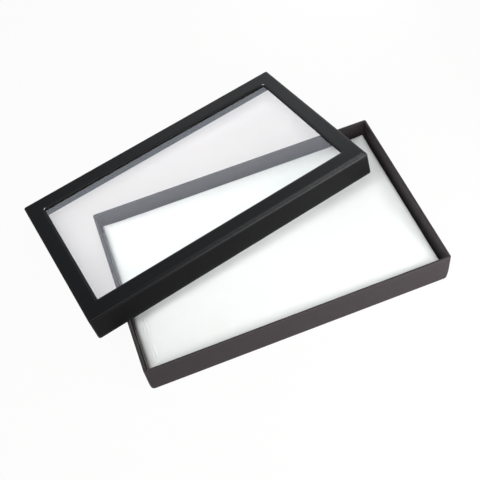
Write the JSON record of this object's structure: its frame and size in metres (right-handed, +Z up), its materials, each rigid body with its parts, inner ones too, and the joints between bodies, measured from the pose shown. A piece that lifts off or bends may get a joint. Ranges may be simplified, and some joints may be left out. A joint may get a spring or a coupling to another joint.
{
  "type": "jewelry display box",
  "caption": "Shallow rectangular paper-wrapped display tray with a white pad, and a lift-off windowed lid leaning on it.",
  "frame": {"origin": "middle of the tray's underside, on the surface that the box stands on", "axes": "+X along the tray's long side, +Y towards the side where the lid leans down to the table, +Z up"},
  "size_m": [0.3664, 0.2995, 0.0772],
  "materials": {
    "board": "raw greyboard",
    "tray_paper": "matte warm black wrap paper with a fine grain",
    "lid_paper": "matte black wrap paper with a fine grain",
    "base_paper": "matte black paper",
    "stay_tape": "gummed kraft tape",
    "foam": "white soft filling",
    "pad_fabric": "smooth white cover with a faint sheen",
    "pane": "gloss clear sheet",
    "clear_tape": "double-sided tape"
  },
  "bodies": {
    "tray": {"tray_board": "board", "tray_wrap": "tray_paper", "tray_base_sheet": "base_paper", "tray_stay_front_left": "stay_tape", "tray_stay_front_right": "stay_tape", "tray_stay_back_left": "stay_tape", "tray_stay_back_right": "stay_tape"},
    "pad": {"pad_card": "board", "pad_foam": "foam", "pad_cover": "pad_fabric"},
    "lid": {"lid_board": "board", "lid_wrap": "lid_paper", "lid_stay_front_left": "stay_tape", "lid_stay_front_right": "stay_tape", "lid_stay_back_left": "stay_tape", "lid_stay_back_right": "stay_tape", "window_pane": "pane", "pane_tape_front": "clear_tape", "pane_tape_back": "clear_tape", "pane_tape_left": "clear_tape", "pane_tape_right": "clear_tape"}
  },
  "joints": [
    {"name": "lid_lift", "type": "slide", "parent": "tray", "child": "lid", "axis": [0, 0, 1], "range_m": [0, 0.1]},
    {"name": "pad_lift", "type": "slide", "parent": "tray", "child": "pad", "axis": [0, 0, 1], "range_m": [0, 0.012]}
  ]
}
